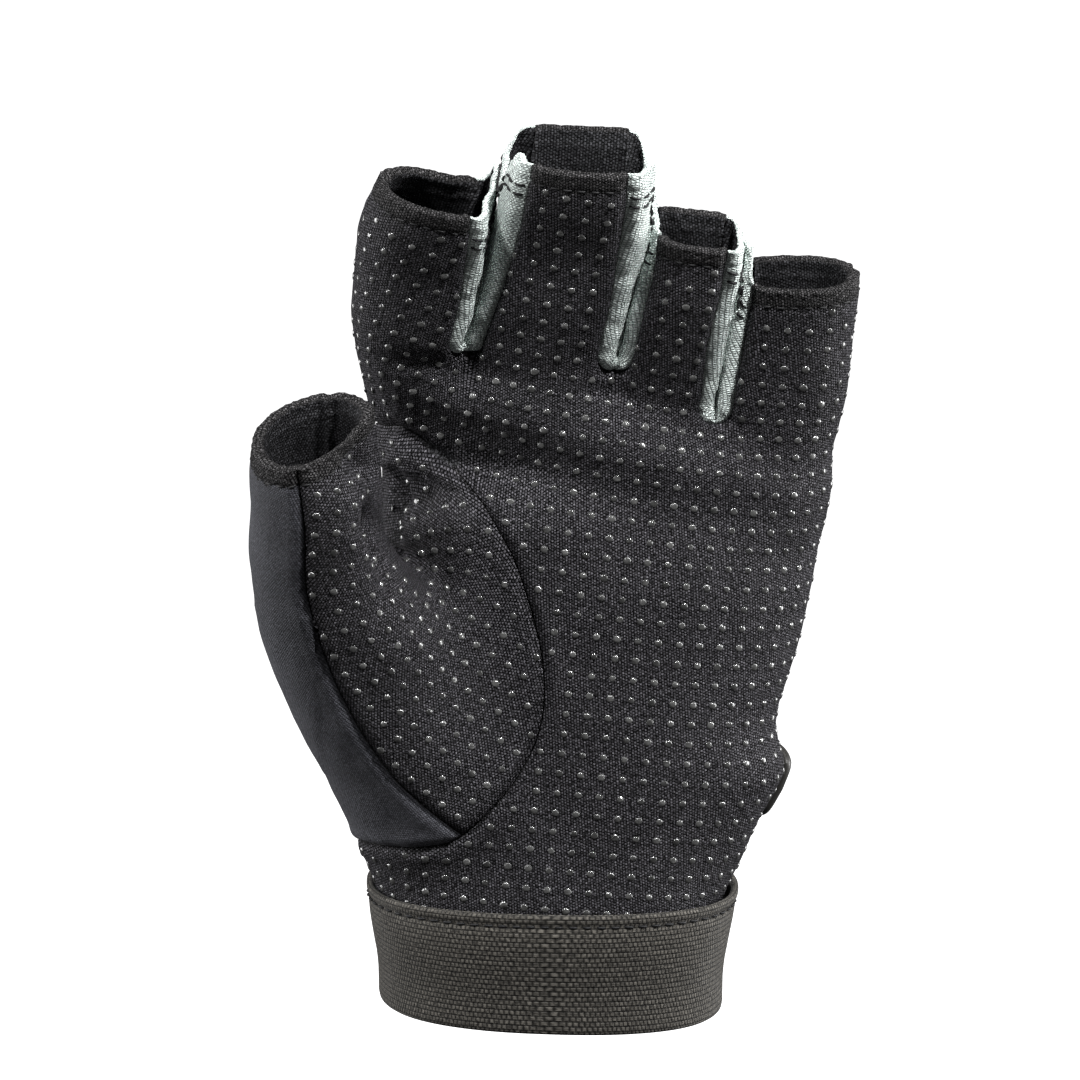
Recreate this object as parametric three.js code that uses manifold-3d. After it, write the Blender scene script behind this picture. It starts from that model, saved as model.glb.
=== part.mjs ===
// A fingerless neoprene sport glove for a left hand, in the form it has when worn, with no hand in it.
// Millimetres, +Z up along the hand, palm towards -Y, thumb towards -X.
// The origin is the centre of the wrist opening, at the lower edge of the cuff.
//
// The glove is a hollow shell: tubes lofted through the sections below are joined, and the same tubes,
// one wall thinner, are taken out. Seams then part the shell into the panels that a glove is sewn from.

import * as THREE from "three";
import { mergeVertices } from "three/addons/utils/BufferGeometryUtils.js";
import Module from "manifold-3d";

const wasm = await Module();
wasm.setup();

// Driving dimensions
const NEOPRENE = 2.4; // wall of the palm, back and thumb panels
const FORCHETTE = 1.2; // knit strips between the fingers
const ELASTIC = 1.5; // wrist band
const SEAM_GAP = 0.32; // clear distance between two sewn pieces
const RUBBER = 1.7; // closure tab
const FINGER_GAP = 0.8; // open slit between the two arms of a forchette
const CUFF_TOP = 24.5;
const CUFF_OVERLAP = 8; // how far the panels reach down inside the cuff
const THUMB_CLEAR = 0.6; // round the free thumb
const FREE_THUMB = 4; // the thumb's section from which it stands clear
const FAR = 90; // further than any piece reaches

// Sections. x, y, z is the centre, w and d are half the width and half the depth outside, and the
// section's plane leans towards +X and pitches towards the palm, in degrees.
const HAND = [
  { x: 0.2, y: -1.2, z: CUFF_TOP - CUFF_OVERLAP, w: 34.8, d: 22.0, lean: 0, pitch: 0 },
  { x: 0.6, y: -1.2, z: 25, w: 35.7, d: 21.6, lean: 1, pitch: 0 },
  { x: 2.0, y: -1.2, z: 36, w: 38.6, d: 21.2, lean: 3, pitch: 0 },
  { x: 6.2, y: -1.6, z: 51.5, w: 41.4, d: 21.0, lean: 5, pitch: 0 },
  { x: 7.4, y: -1.8, z: 62, w: 38.2, d: 20.6, lean: 6, pitch: 0 },
  { x: 8.4, y: -2.0, z: 78, w: 41.6, d: 19.8, lean: 8, pitch: 0 },
  { x: 9.4, y: -2.4, z: 98, w: 44.4, d: 19.0, lean: 10, pitch: 2 },
  { x: 10.6, y: -3.4, z: 111, w: 45.6, d: 16.3, lean: 12, pitch: 4 },
  { x: 11.0, y: -5.4, z: 120, w: 45.8, d: 14.8, lean: 13, pitch: 8 },
  { x: 11.4, y: -5.8, z: 127, w: 42.8, d: 11.8, lean: 14, pitch: 12 },
  { x: 11.4, y: -6.8, z: 131, w: 37.0, d: 7.4, lean: 14, pitch: 14 },
];
// For the thumb, back is where its hidden seam lies, in degrees round the section from +X.
const THUMB = [
  { x: -18.5, y: -3.0, z: 32, w: 12.5, d: 12.5, lean: -20, pitch: 8, back: 10 },
  { x: -23.5, y: -6.5, z: 44, w: 16.5, d: 15.5, lean: -22, pitch: 14, back: 10 },
  { x: -29.5, y: -10.5, z: 58, w: 18.0, d: 17.0, lean: -23, pitch: 18, back: 15 },
  { x: -36.0, y: -16.0, z: 73, w: 17.5, d: 16.5, lean: -22, pitch: 22, back: 35 },
  { x: -41.5, y: -22.5, z: 87, w: 16.3, d: 15.4, lean: -14, pitch: 25, back: 72 },
  { x: -44.6, y: -29.0, z: 100, w: 14.4, d: 14.2, lean: -4, pitch: 26, back: 80 },
  { x: -45.0, y: -35.0, z: 112.5, w: 13.1, d: 13.2, lean: -2, pitch: 25, back: 80 },
  { x: -45.4, y: -39.5, z: 125, w: 12.2, d: 12.4, lean: -14, pitch: 24, back: 70 },
];
const FINGERS = {
  index: [
    { x: -22.5, y: -3.4, z: 112, w: 12.5, d: 12.6, lean: 8, pitch: 8 },
    { x: -26.6, y: -6.6, z: 134, w: 11.8, d: 12.4, lean: 4, pitch: 22 },
    { x: -26.2, y: -12.2, z: 148, w: 12.6, d: 12.0, lean: 4, pitch: 28 },
    { x: -24.8, y: -18.6, z: 160, w: 12.8, d: 11.6, lean: 8, pitch: 30 },
    { x: -22.2, y: -24.4, z: 169.1, w: 11.2, d: 11.2, lean: 15, pitch: 14 },
  ],
  middle: [
    { x: 0.0, y: -3.4, z: 112, w: 13.0, d: 12.8, lean: 10, pitch: 8 },
    { x: -1.6, y: -6.8, z: 134, w: 15.2, d: 12.8, lean: 8, pitch: 22 },
    { x: 1.2, y: -12.4, z: 148, w: 14.8, d: 12.4, lean: 11, pitch: 28 },
    { x: 4.6, y: -19.4, z: 162, w: 14.2, d: 11.8, lean: 9, pitch: 30 },
    { x: 7.4, y: -26.8, z: 176.6, w: 13.1, d: 11.2, lean: 3, pitch: 14 },
  ],
  ring: [
    { x: 21.0, y: -3.4, z: 108, w: 10.5, d: 12.4, lean: 10, pitch: 8 },
    { x: 22.9, y: -6.2, z: 130, w: 10.5, d: 12.2, lean: 9, pitch: 20 },
    { x: 25.5, y: -12.4, z: 145, w: 10.2, d: 11.6, lean: 9, pitch: 26 },
    { x: 29.7, y: -19.8, z: 160.8, w: 10.3, d: 10.8, lean: 6, pitch: 12 },
  ],
  little: [
    { x: 41.0, y: -3.2, z: 102, w: 11.5, d: 12.2, lean: 9, pitch: 6 },
    { x: 45.4, y: -5.4, z: 122, w: 12.2, d: 12.0, lean: 8, pitch: 14 },
    { x: 47.1, y: -9.6, z: 137, w: 12.7, d: 11.4, lean: 7, pitch: 19 },
    { x: 48.9, y: -14.8, z: 151.8, w: 11.4, d: 10.6, lean: 0, pitch: 12 },
  ],
};
const CUFF = [
  { x: 0.1, y: -1.2, z: 0, w: 35.4, d: 23.2, lean: 2, pitch: 3 },
  { x: 0.1, y: -1.2, z: 8, w: 35.6, d: 23.4, lean: 1.5, pitch: 2 },
  { x: 0.2, y: -1.2, z: CUFF_TOP - CUFF_OVERLAP, w: 37.0, d: 24.3, lean: 1, pitch: 1 },
  { x: 0.5, y: -1.2, z: CUFF_TOP, w: 38.1, d: 24.1, lean: 1, pitch: 1 },
];

// The seam round the thumb's hole, seen from the palm side, as x, z.
const THUMB_HOLE = [
  { x: -52, z: 33.2 }, { x: -36.4, z: 35.8 }, { x: -24, z: 37.2 }, { x: -17, z: 40 },
  { x: -7, z: 50.8 }, { x: -1.8, z: 63 }, { x: -1.6, z: 76 }, { x: -5.6, z: 91.5 },
  { x: -10, z: 101.3 }, { x: -16, z: 109.5 }, { x: -23, z: 115 }, { x: -32, z: 118.5 },
  { x: -46, z: 120 },
];
// The seam down the thumb, which parts its dotted front from its plain side, as x, z.
const THUMB_SEAM = [
  { x: -49.6, z: 140 }, { x: -49.5, z: 121 }, { x: -48.9, z: 100 }, { x: -45, z: 82.5 },
  { x: -40.4, z: 69.5 }, { x: -32.8, z: 55 }, { x: -25.9, z: 47.2 }, { x: -17, z: 39.4 }, { x: -8, z: 31 },
];
// Where the palm panel ends and the back panel begins, seen from the side, as y, z.
const SIDE_SEAM = [
  { y: 1, z: 0 }, { y: 3, z: 25 }, { y: 6, z: 42 }, { y: 8, z: 62 }, { y: 7, z: 92 }, { y: 4, z: 110 },
  { y: 0, z: 124 }, { y: -4, z: 137 }, { y: -10, z: 150 }, { y: -17, z: 162 }, { y: -30, z: 185 },
];
// Forchettes: the slit between two fingers, and how far the strip reaches to its left and right, from
// the crotch upwards.
const GAPS = {
  index_middle: [
    { x: -16.4, z: 138.4, left: 2.4, right: 2.2 }, { x: -13.6, z: 148, left: 3.4, right: 3.2 },
    { x: -11.5, z: 158, left: 4.0, right: 3.5 }, { x: -10.4, z: 166, left: 4.4, right: 4.4 },
    { x: -9.2, z: 180, left: 5.8, right: 6.0 }, { x: -8.6, z: 190, left: 7.0, right: 7.0 },
  ],
  middle_ring: [
    { x: 12.7, z: 135.4, left: 2.8, right: 2.6 }, { x: 15.6, z: 148, left: 3.2, right: 2.4 },
    { x: 18.1, z: 158, left: 4.3, right: 1.7 }, { x: 19.6, z: 166, left: 5.0, right: 1.8 },
    { x: 21.0, z: 178, left: 5.6, right: 2.5 }, { x: 21.6, z: 190, left: 6.0, right: 3.0 },
  ],
  ring_little: [
    { x: 33.0, z: 125.2, left: 2.6, right: 2.6 }, { x: 34.4, z: 138, left: 3.2, right: 2.9 },
    { x: 36.2, z: 148.5, left: 2.9, right: 2.6 }, { x: 37.4, z: 154, left: 3.2, right: 1.8 },
    { x: 38.6, z: 162, left: 3.8, right: 2.4 }, { x: 41.5, z: 180, left: 5.0, right: 3.0 },
  ],
};
// Closure tab: a rounded rectangle seen from the back, wrapped round the wrist.
const TAB = { left: -16, right: 60, low: 38.5, high: 55, corner: 7, clear: 0.4, front: 2 };

// A three.js geometry as a manifold-3d solid, and back.
function solidOf(geometry) {
  const bare = geometry.clone();
  bare.deleteAttribute("normal");
  bare.deleteAttribute("uv");
  const merged = mergeVertices(bare, 1e-4);
  return new wasm.Manifold(
    new wasm.Mesh({
      numProp: 3,
      vertProperties: merged.attributes.position.array,
      triVerts: new Uint32Array(merged.index.array),
    }),
  );
}
function geometryOf(solid) {
  const made = solid.getMesh();
  const geometry = new THREE.BufferGeometry();
  geometry.setAttribute("position", new THREE.BufferAttribute(made.vertProperties, 3));
  geometry.setIndex(new THREE.BufferAttribute(made.triVerts, 1));
  geometry.computeVertexNormals();
  return geometry;
}
const joined = (solids) => solids.reduce((whole, next) => whole.add(next));

// The sections of a table, smoothed by a Catmull-Rom curve with this many steps a row.
function smoothRows(rows, steps) {
  const curve = (a, b, c) =>
    new THREE.CatmullRomCurve3(rows.map((r) => new THREE.Vector3(r[a], r[b], r[c])), false, "catmullrom");
  const [centre, size, turn] = [curve("x", "y", "z"), curve("w", "d", "w"), curve("lean", "pitch", "lean")];
  const count = (rows.length - 1) * steps;
  return Array.from({ length: count + 1 }, (_, i) => {
    const [c, s, t] = [centre, size, turn].map((line) => line.getPoint(i / count));
    return { x: c.x, y: c.y, z: c.z, w: s.x, d: s.y, lean: t.x, pitch: t.y };
  });
}

// The directions across and to the back of the hand in a section's plane.
function axes({ lean, pitch }) {
  const [l, p] = [THREE.MathUtils.degToRad(lean), THREE.MathUtils.degToRad(pitch)];
  const across = new THREE.Vector3(Math.cos(l), 0, -Math.sin(l));
  const back = new THREE.Vector3(Math.sin(l) * Math.sin(p), Math.cos(p), Math.cos(l) * Math.sin(p));
  return { across, back, along: new THREE.Vector3().crossVectors(across, back) };
}

// A closed solid through rings of points, with flat ends.
function skin(points, ring) {
  const last = points.length - ring;
  const faces = [];
  for (let k = 0; k < ring; k++) {
    const next = (k + 1) % ring;
    for (let base = 0; base < last; base += ring) {
      faces.push(base + k, base + next, base + ring + next);
      faces.push(base + k, base + ring + next, base + ring + k);
    }
    if (k > 1) {
      faces.push(0, k, k - 1);
      faces.push(last, last + k - 1, last + k);
    }
  }
  const geometry = new THREE.BufferGeometry().setFromPoints(points);
  geometry.setIndex(faces);
  return solidOf(geometry);
}

// A closed tube through a table's sections, each a superellipse, grown by a distance on all sides.
function tube(rows, { grow = 0, sides = 28, steps = 2, square = 2.3, below = 0, above = 0 }) {
  const sections = smoothRows(rows, steps);
  const points = [];
  sections.forEach((row, i) => {
    const { across, back, along } = axes(row);
    const reach = i === 0 ? -below : i === sections.length - 1 ? above : 0;
    const centre = new THREE.Vector3(row.x, row.y, row.z).addScaledVector(along, reach);
    for (let k = 0; k < sides; k++) {
      const angle = (2 * Math.PI * k) / sides;
      const [c, n] = [Math.cos(angle), Math.sin(angle)];
      const radius = (Math.abs(c) ** square + Math.abs(n) ** square) ** (-1 / square);
      const point = centre
        .clone()
        .addScaledVector(across, (row.w + grow) * radius * c)
        .addScaledVector(back, (row.d + grow) * radius * n);
      points.push(point);
    }
  });
  return skin(points, sides);
}

const BAND_SIDES = { sides: 36, steps: 1, square: 2.5 };

// All the tubes of the hand joined, grown by a distance, and run on past the openings.
const thumbTube = (grow, past) => tube(THUMB, { grow, above: past, sides: 20, steps: 1, square: 2.1 });
function handForm(grow, past) {
  return joined([
    tube(HAND, { grow, below: past, ...BAND_SIDES }),
    thumbTube(grow, past),
    ...Object.values(FINGERS).map((rows) => tube(rows, { grow, above: past, sides: 16, steps: 2 })),
  ]);
}

// A smooth line through points, which keeps its ends.
const smoothLine = (points, count) =>
  new THREE.SplineCurve(points.map((p) => new THREE.Vector2(p[0], p[1]))).getPoints(count);

// The same line moved sideways, to its left as it runs.
function moved(line, by) {
  return line.map((p, i) => {
    const [a, b] = [line[Math.max(i - 1, 0)], line[Math.min(i + 1, line.length - 1)]];
    const along = b.clone().sub(a).normalize();
    return new THREE.Vector2(p.x - along.y * by, p.y + along.x * by);
  });
}

// A closed outline as a prism through everything. Its plane is x, z seen from the palm, y, z from the
// side, or x, y from above.
function prism(outline, plane) {
  const shape = new THREE.Shape(outline);
  const geometry = new THREE.ExtrudeGeometry(shape, { depth: 4 * FAR, bevelEnabled: false });
  geometry.translate(0, 0, -2 * FAR);
  if (plane === "xz") geometry.rotateX(Math.PI / 2);
  if (plane === "yz") geometry.rotateX(Math.PI / 2).rotateZ(Math.PI / 2);
  return solidOf(geometry);
}

const corner = (x, y) => new THREE.Vector2(x, y);

function palmSide(shift) {
  const line = smoothLine(SIDE_SEAM.map((p) => [p.y + shift, p.z]), 12);
  const [first, last] = [line[0], line.at(-1)];
  const below = [corner(-FAR, -FAR), corner(first.x, -FAR)];
  const above = [corner(last.x, 3 * FAR), corner(-FAR, 3 * FAR)];
  return prism([...below, ...line, ...above], "yz");
}

// All that belongs to the thumb: left of the hole's seam, and the free thumb above it.
function thumbSide(grow) {
  const line = moved(smoothLine(THUMB_HOLE.map((p) => [p.x, p.z]), 18), -grow);
  const [first, last] = [line[0], line.at(-1)];
  const around = prism([...line, corner(-FAR, last.y), corner(-FAR, first.y)], "xz");
  const free = tube(THUMB.slice(FREE_THUMB), { grow: THUMB_CLEAR + grow, above: 2, steps: 1, square: 2.1 });
  return around.add(free);
}

// What lies to the right of the seam down the thumb.
function besideSeam(grow) {
  const line = moved(smoothLine(THUMB_SEAM.map((p) => [p.x, p.z]), 12), -grow);
  return prism([...line, corner(FAR, line.at(-1).y), corner(FAR, line[0].y)], "xz");
}

// The dotted part of the thumb, which ends at its front seam and, round its inner side, at its back seam.
function dottedThumb(grow) {
  const front = THREE.MathUtils.degToRad(-150);
  const points = THUMB.flatMap((row) => {
    const { across, back } = axes(row);
    const end = THREE.MathUtils.degToRad(row.back);
    const apex = new THREE.Vector3(row.x, row.y, row.z);
    apex.addScaledVector(across, -grow * Math.sin(end)).addScaledVector(back, grow * Math.cos(end));
    const fan = [0, 1, 2, 3, 4].map((k) => {
      const angle = front + ((end - front) * k) / 4;
      return apex
        .clone()
        .addScaledVector(across, 2 * FAR * Math.cos(angle))
        .addScaledVector(back, 2 * FAR * Math.sin(angle));
    });
    return [apex, ...fan];
  });
  return skin(points, 6).intersect(besideSeam(grow)).intersect(palmSide(grow));
}

// A strip between two fingers, round at the crotch. reach gives how far it goes left and right of a row.
function slot(rows, reach) {
  const [left, right] = reach(rows[0]);
  const middle = corner(rows[0].x + (right - left) / 2, rows[0].z);
  const radius = (left + right) / 2;
  const side = (sign, way) => smoothLine(rows.map((row) => [row.x + sign * reach(row)[way], row.z]), 7);
  const round = Array.from({ length: 7 }, (_, i) => {
    const angle = Math.PI + (Math.PI * (i + 1)) / 8;
    return corner(middle.x + radius * Math.cos(angle), middle.y + radius * Math.sin(angle));
  });
  return prism([...round, ...side(1, 1), ...side(-1, 0).reverse()], "xz");
}
const everySlot = (reach) => joined(Object.values(GAPS).map((rows) => slot(rows, reach)));
const evenly = (half) => () => [half, half];

// The shell and its panels. The slit between two fingers is cut from the outside, and its walls are
// as thick as the forchette.
const fingerSlits = everySlot(evenly(FINGER_GAP / 2));
const slitWalls = everySlot(evenly(FINGER_GAP / 2 + FORCHETTE));
const outside = handForm(0, 0).subtract(fingerSlits);
const shellOf = (wall) => outside.subtract(handForm(-wall, 6).subtract(slitWalls));
const shell = shellOf(NEOPRENE);
const thinShell = shellOf(FORCHETTE);

const panels = shell.subtract(everySlot((row) => [row.left + SEAM_GAP, row.right + SEAM_GAP]));
const handShell = panels.subtract(thumbSide(SEAM_GAP));
const thumbShell = panels.intersect(thumbSide(0));

// A cut can leave slivers, so a piece is the largest body of what was cut.
const largest = (solid) => solid.decompose().reduce((a, b) => (b.volume() > a.volume() ? b : a));

// Wrist band
const cuffHollow = tube(CUFF, { ...BAND_SIDES, grow: -ELASTIC, below: 6, above: 6 });
const cuff = tube(CUFF, BAND_SIDES).subtract(cuffHollow);

// Closure tab
function closureTab() {
  const { left, right, low, high, corner: r, clear, front } = TAB;
  const around = { ...BAND_SIDES, below: 6 };
  const inner = tube(HAND, { ...around, grow: clear });
  const band = tube(HAND, { ...around, grow: clear + RUBBER }).subtract(inner);
  const outline = new THREE.Shape();
  outline.moveTo(left + r, low);
  outline.lineTo(right, low);
  outline.lineTo(right, high);
  outline.lineTo(left + r, high);
  outline.absarc(left + r, high - r, r, Math.PI / 2, Math.PI, false);
  outline.absarc(left + r, low + r, r, Math.PI, 1.5 * Math.PI, false);
  const behind = new THREE.BoxGeometry(4 * FAR, FAR, 4 * FAR).translate(0, front + FAR / 2, 0);
  return band.intersect(prism(outline.getPoints(6), "xz")).intersect(solidOf(behind));
}

const fabric = (color, roughness) => new THREE.MeshStandardMaterial({ color, roughness, metalness: 0 });
const BLACK_KNIT = fabric(0x1e1e21, 0.85);
const PLAIN_NEOPRENE = fabric(0x26292e, 0.8);
const GREY_KNIT = fabric(0xa3afa8, 0.85);
const BROWN_ELASTIC = fabric(0x45423c, 0.8);
const GREY_RUBBER = fabric(0x55534e, 0.5);

const pieces = [
  ["palm_panel", handShell.intersect(palmSide(-SEAM_GAP / 2)), BLACK_KNIT],
  ["back_panel", handShell.subtract(palmSide(SEAM_GAP / 2)), PLAIN_NEOPRENE],
  ["thumb_front_panel", thumbShell.intersect(dottedThumb(0)), BLACK_KNIT],
  ["thumb_side_panel", thumbShell.subtract(dottedThumb(SEAM_GAP)), PLAIN_NEOPRENE],
  ...Object.entries(GAPS).map(([name, rows]) => {
    const strip = slot(rows, (row) => [row.left, row.right]);
    return ["forchette_" + name, thinShell.intersect(strip), GREY_KNIT];
  }),
  ["wrist_cuff", cuff, BROWN_ELASTIC],
  ["closure_tab", closureTab(), GREY_RUBBER],
];

const glove = new THREE.Group();
for (const [name, solid, material] of pieces) {
  const kept = largest(solid);
  const mesh = new THREE.Mesh(geometryOf(kept), material);
  mesh.name = name;
  glove.add(mesh);
}

export default glove;
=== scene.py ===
# The looks of a fingerless neoprene sport glove for a left hand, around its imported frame.
#
# Shapes are worked out in millimetres, in the frame's own axes: +Z along the hand, palm towards -Y,
# thumb towards -X, origin at the middle of the wrist opening. They are turned into metres as each
# mesh is made.
#
# The glove's outside is one smooth form: tubes through the tables of sections below, blended where
# they meet. It is turned into a fine mesh, parted along the seams into panels, folded and puffed,
# and each panel is given its thickness.

import math

import bpy
import numpy as np
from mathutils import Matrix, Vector
from mathutils.kdtree import KDTree


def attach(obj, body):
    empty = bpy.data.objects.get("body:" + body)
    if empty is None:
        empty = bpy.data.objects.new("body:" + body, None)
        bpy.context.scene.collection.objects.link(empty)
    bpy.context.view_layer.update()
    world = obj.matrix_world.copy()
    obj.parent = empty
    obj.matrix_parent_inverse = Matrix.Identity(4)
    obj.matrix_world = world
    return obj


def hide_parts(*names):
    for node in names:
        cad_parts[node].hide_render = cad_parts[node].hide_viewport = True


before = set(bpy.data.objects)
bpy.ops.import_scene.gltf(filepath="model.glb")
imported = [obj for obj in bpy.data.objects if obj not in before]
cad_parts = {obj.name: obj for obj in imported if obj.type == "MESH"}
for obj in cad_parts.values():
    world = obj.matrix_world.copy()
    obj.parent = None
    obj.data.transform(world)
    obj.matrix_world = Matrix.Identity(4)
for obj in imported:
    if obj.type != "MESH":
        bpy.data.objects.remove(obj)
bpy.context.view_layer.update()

MM = 0.001
BODY = "root"
FAR = 90.0
SEED = 7

# The photograph's viewing angle
CAMERA_ELEVATION = math.radians(12)
CAMERA_DISTANCE = 900.0
CAMERA_TARGET = (-2.0, 0.0, 95.5)
IMAGE_PX = 1080
PX_PER_MM = 4.95
SENSOR = 36.0

# Driving dimensions
NEOPRENE = 2.3
FORCHETTE = 1.1
ELASTIC = 1.5
RUBBER = 1.7
CUFF_TOP = 24.5
CUFF_OVERLAP = 8.0
SLIT = 0.5
# Half the space between two sewn pieces
SEAM = 0.16

# How widely forms melt into each other
FINGER_BLEND = 1.0
WEB_BLEND = 5.0
SLIT_BLEND = 2.6
THUMB_BLEND = 11.0
THUMB_TOP_BLEND = 0.8
THUMB_CLEAR = 0.8
RIM_BLEND = 0.6
DEEPEST_RIM = 40.0

# How fine the mesh is
CELL = 1.3
SLIT_CELL = 0.42
SEAM_EDGE = 0.8


def table(names, rows):
    """A table's columns by name, as arrays."""
    values = np.array(rows, float)
    return {name: values[:, i] for i, name in enumerate(names.split())}


# Sections. x y z is the centre, w and d half the width and depth, lean towards +X and pitch towards
# the palm in degrees.
SECTION = "x y z w d lean pitch"
HAND = table(SECTION, [
    (0.2, -1.2, 16.5, 34.8, 22, 0, 0),
    (0.6, -1.2, 25, 35.7, 21.6, 1, 0),
    (2, -1.2, 36, 38.6, 21.2, 3, 0),
    (6.2, -1.6, 51.5, 41.4, 21, 5, 0),
    (7.4, -1.8, 62, 38.2, 20.6, 6, 0),
    (8.4, -2, 78, 41.6, 19.8, 8, 0),
    (9.4, -2.4, 98, 44.4, 19, 10, 2),
    (10.6, -3.4, 111, 45.6, 16.3, 12, 4),
    (11, -5.4, 120, 45.8, 14.8, 13, 8),
    (11.4, -5.8, 127, 42.8, 11.8, 14, 12),
    (11.4, -6.8, 131, 37, 7.4, 14, 14),
])
THUMB = table(SECTION + " back", [
    (-18.5, -3, 32, 12.5, 12.5, -20, 8, 10),
    (-23.5, -6.5, 44, 16.5, 15.5, -22, 14, 10),
    (-29.5, -10.5, 58, 18, 17, -23, 18, 15),
    (-36, -16, 73, 17.5, 16.5, -22, 22, 35),
    (-41.5, -22.5, 87, 16.3, 15.4, -14, 25, 72),
    (-45.2, -29, 100, 13.7, 14.2, -4, 26, 80),
    (-45, -35, 112.5, 13.1, 13.2, -2, 25, 80),
    (-45.4, -39.5, 125, 12.2, 12.4, -14, 24, 70),
])
FINGERS = {
    "index": [
        (-22.5, -3.4, 112, 12.5, 12.6, 8, 8),
        (-26.6, -6.6, 134, 11.8, 12.4, 4, 22),
        (-26.2, -12.2, 148, 12.6, 12, 4, 28),
        (-24.8, -18.6, 160, 12.8, 11.6, 8, 30),
        (-22.2, -24.4, 169.1, 11.2, 11.2, 15, 14),
    ],
    "middle": [
        (0, -3.4, 112, 13, 12.8, 10, 8),
        (-1.6, -6.8, 134, 15.2, 12.8, 8, 22),
        (1.2, -12.4, 148, 14.8, 12.4, 11, 28),
        (4.6, -19.4, 162, 14.2, 11.8, 9, 30),
        (7.4, -26.8, 176.6, 13.1, 11.2, 3, 14),
    ],
    "ring": [
        (21, -3.4, 108, 10.5, 12.4, 10, 8),
        (22.9, -6.2, 130, 10.5, 12.2, 9, 20),
        (25.5, -12.4, 145, 10.2, 11.6, 9, 26),
        (29.7, -19.8, 160.8, 10.3, 10.8, 6, 12),
    ],
    "little": [
        (41, -3.2, 102, 11.5, 12.2, 9, 6),
        (45.4, -5.4, 122, 12.2, 12, 8, 14),
        (47.1, -9.6, 137, 12.7, 11.4, 7, 19),
        (48.9, -14.8, 151.8, 11.4, 10.6, 0, 12),
    ],
}
CUFF = table(SECTION, [
    (0.1, -1.2, 0, 35.4, 23.2, 2, 3),
    (0.1, -1.2, 8, 35.6, 23.4, 1.5, 2),
    (0.2, -1.2, 16.5, 37, 24.3, 1, 1),
    (0.5, -1.2, 24.5, 38.1, 24.1, 1, 1),
])
HAND_SQUARE = 2.5
THUMB_SQUARE = 2.1
FINGER_SQUARE = 2.3

# Seams, as x z seen from the palm, or y z seen from the side.
THUMB_HOLE = table("x z", [
    (-130, 33.2), (-52, 33.2), (-36.4, 35.8), (-24, 37.2), (-17, 40), (-7, 50.8), (-1.8, 63), (-1.6, 76),
    (-5.6, 91.5), (-10, 101.3), (-16, 109.5), (-23, 115), (-32, 118.5), (-46, 120), (-130, 120),
])
THUMB_SEAM = table("x z", [
    (-49.6, 160), (-49.6, 140), (-49.5, 121), (-48.9, 100), (-45, 82.5), (-40.4, 69.5), (-32.8, 55),
    (-25.9, 47.2), (-17, 39.4), (-8, 31), (20, 5),
])
SIDE_SEAM = table("y z", [
    (1, 0), (3, 25), (6, 42), (8, 62), (7, 92), (4, 110), (0, 124), (-4, 137), (-10, 150), (-17, 162),
    (-30, 185), (-44, 205),
])
# Forchettes: the slit between two fingers, and how far the strip reaches to its left and right, from the
# crotch upwards. y is where the slit's middle lies, and sag how far it bows towards -X there.
GAP = "x z left right y sag"
GAPS = {
    "index_middle": [
        (-16.4, 138.4, 2.4, 2.2, -9, 1.5),
        (-13.6, 148, 3.4, 3.2, -13, 1.5),
        (-11.5, 158, 4, 3.5, -18, 1),
        (-10.4, 166, 4.4, 4.4, -22, 0.8),
        (-9.2, 180, 5.8, 6, -28, 0),
        (-8.6, 190, 7, 7, -32, 0),
    ],
    "middle_ring": [
        (12.7, 135.4, 2.8, 2.6, -9, -1.5),
        (15.6, 148, 3.2, 2.4, -13, -1.5),
        (18.1, 158, 4.3, 1.7, -18, -1),
        (19.6, 166, 5, 1.8, -22, -0.8),
        (21, 178, 5.6, 2.5, -28, 0),
        (21.6, 190, 6, 3, -32, 0),
    ],
    "ring_little": [
        (33, 125.2, 2.6, 2.6, -7, 1.5),
        (34.4, 138, 3.2, 2.9, -9, 1.5),
        (36.2, 148.5, 2.9, 2.6, -14, 1),
        (37.4, 154, 3.2, 1.8, -16, 0.8),
        (38.6, 162, 3.8, 2.4, -19, 0.5),
        (41.5, 180, 5, 3, -25, 0),
    ],
}


# Curves


def spline(values, count, clamped):
    """Points along a Catmull-Rom curve through the rows of values, and each point's row number."""
    rows = len(values)
    first = values[0] if clamped else 2 * values[0] - values[1]
    last = values[-1] if clamped else 2 * values[-1] - values[-2]
    padded = np.vstack([first, values, last])
    at = np.linspace(0, rows - 1, count + 1)
    i = np.minimum(at.astype(int), rows - 2)
    t = (at - i)[:, None]
    a, b, c, d = (padded[i + k] for k in range(4))
    smooth = (
        2 * b + (c - a) * t + (2 * a - 5 * b + 4 * c - d) * t**2 + (3 * b - a - 3 * c + d) * t**3
    ) / 2
    return smooth, at


def smooth_table(rows, steps):
    """The table's columns with this many steps between two rows."""
    values = np.stack(list(rows.values()), 1)
    smooth, _ = spline(values, (len(values) - 1) * steps, False)
    return {name: smooth[:, i] for i, name in enumerate(rows)}


def unit(v):
    return v / np.maximum(np.linalg.norm(v, axis=-1, keepdims=True), 1e-9)


def frames(rows):
    """The directions across, to the back and along, for each section."""
    lean, pitch = np.radians(rows["lean"]), np.radians(rows["pitch"])
    zero = np.zeros_like(lean)
    across = np.stack([np.cos(lean), zero, -np.sin(lean)], 1)
    back = np.stack([np.sin(lean) * np.sin(pitch), np.cos(pitch), np.cos(lean) * np.sin(pitch)], 1)
    return across, back, np.cross(across, back)


def superellipse(angle, n):
    c, s = np.cos(angle), np.sin(angle)
    return np.sign(c) * np.abs(c) ** (2 / n), np.sign(s) * np.abs(s) ** (2 / n)


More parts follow.
